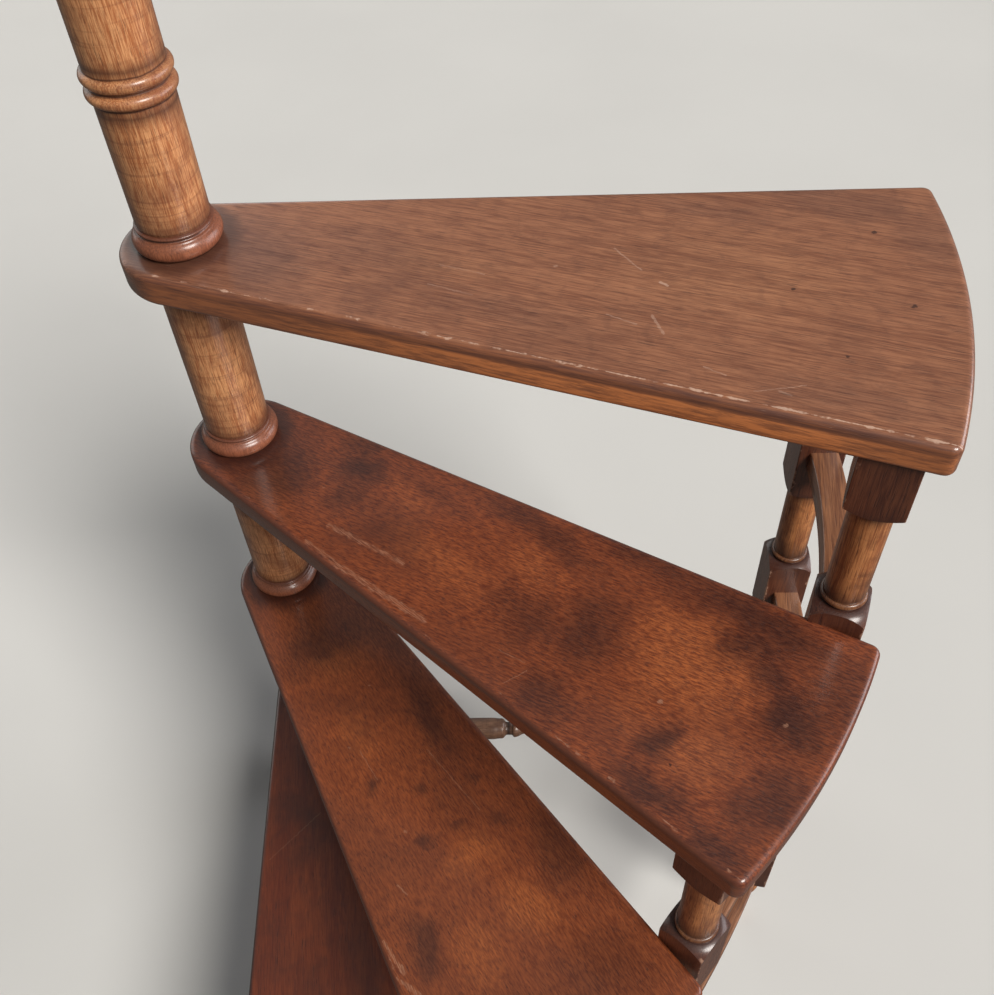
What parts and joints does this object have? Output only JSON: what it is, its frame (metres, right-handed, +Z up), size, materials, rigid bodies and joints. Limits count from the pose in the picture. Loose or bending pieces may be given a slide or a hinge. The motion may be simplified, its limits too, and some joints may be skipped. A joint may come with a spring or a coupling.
{
  "type": "spiral library steps",
  "caption": "Free-standing wooden spiral steps: wedge treads fan round a turned pole, carried at the rim by turned legs tied with curved rails.",
  "frame": {"origin": "centre of the pole foot's flat bottom, on the floor", "axes": "+Z up along the pole; +X along the rear edge of the top tread, towards its outer end; +Y to the back"},
  "size_m": [0.6193, 0.6194, 1.567],
  "materials": {
    "tread": "dark red-brown stain, satin lacquer, worn edges",
    "pole": "honey-brown stain, satin lacquer",
    "leg": "honey-brown stain, satin lacquer",
    "rail": "red-brown stain, satin lacquer",
    "stretcher": "honey-brown stain, satin lacquer"
  },
  "bodies": {
    "root": {"tread_1": "tread", "tread_2": "tread", "tread_3": "tread", "tread_4": "tread", "pole_foot": "pole", "pole_section_1": "pole", "pole_section_2": "pole", "pole_section_3": "pole", "pole_post": "pole", "pole_upper": "pole", "finial": "pole", "leg_1": "leg", "leg_2": "leg", "leg_3": "leg", "leg_4": "leg", "leg_5": "leg", "rail_rear_3": "rail", "rail_rear_2": "rail", "rail_rear_1": "rail", "rail_middle_2": "rail", "rail_middle_1": "rail", "rail_front_1": "rail", "stretcher_rear": "stretcher", "stretcher_front": "stretcher"}
  },
  "joints": []
}
